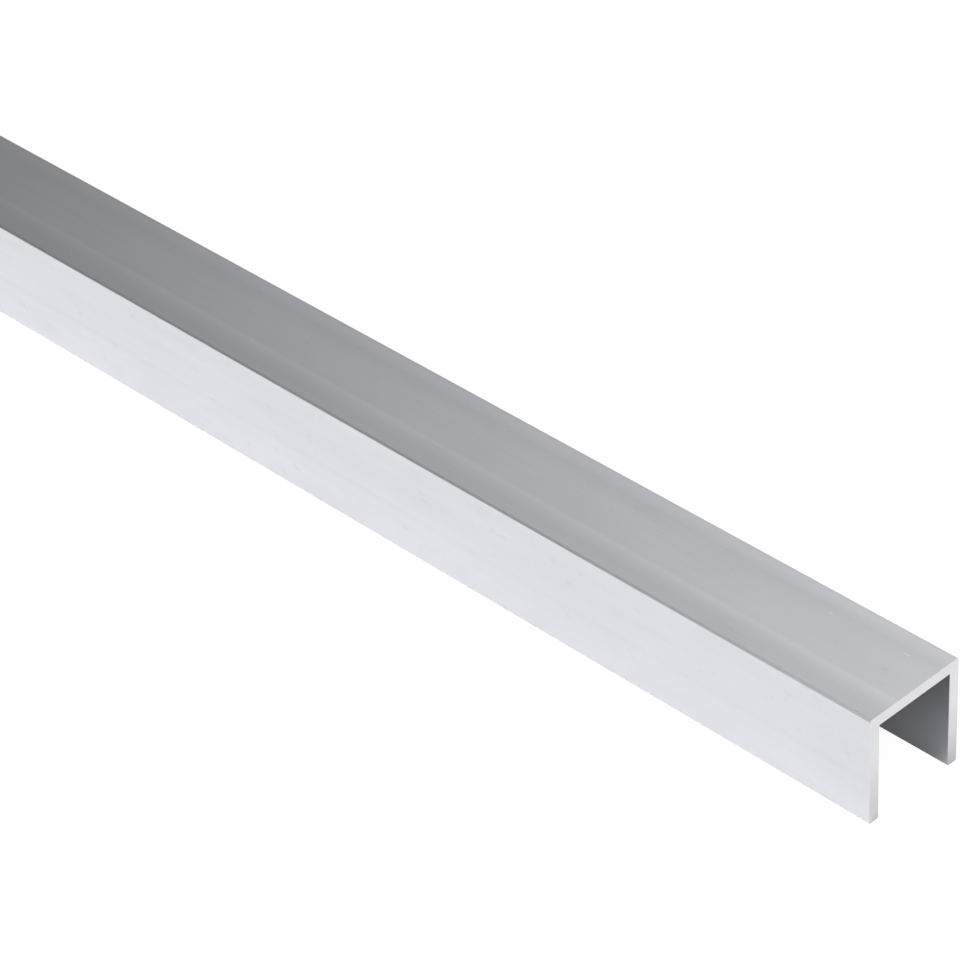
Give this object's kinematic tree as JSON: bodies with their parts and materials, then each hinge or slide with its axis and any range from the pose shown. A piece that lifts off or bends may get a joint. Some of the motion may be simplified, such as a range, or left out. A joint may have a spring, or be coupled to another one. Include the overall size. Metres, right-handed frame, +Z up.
{
  "type": "aluminium U channel profile",
  "caption": "Straight U channel of extruded aluminium with equal legs and square sawn ends, a raw stock profile to edge a board, line a groove or stiffen a panel.",
  "frame": {"origin": "midway between the sawn ends and between the legs, on the plane of the leg tips that the channel rests on", "axes": "+X along the length, +Y across the web from leg to leg, +Z up, out of the web's outer face"},
  "size_m": [1, 0.02, 0.02],
  "materials": {
    "aluminium": "satin, as extruded, with fine die lines along the length and sawn ends"
  },
  "bodies": {
    "root": {"channel": "aluminium"}
  },
  "joints": []
}
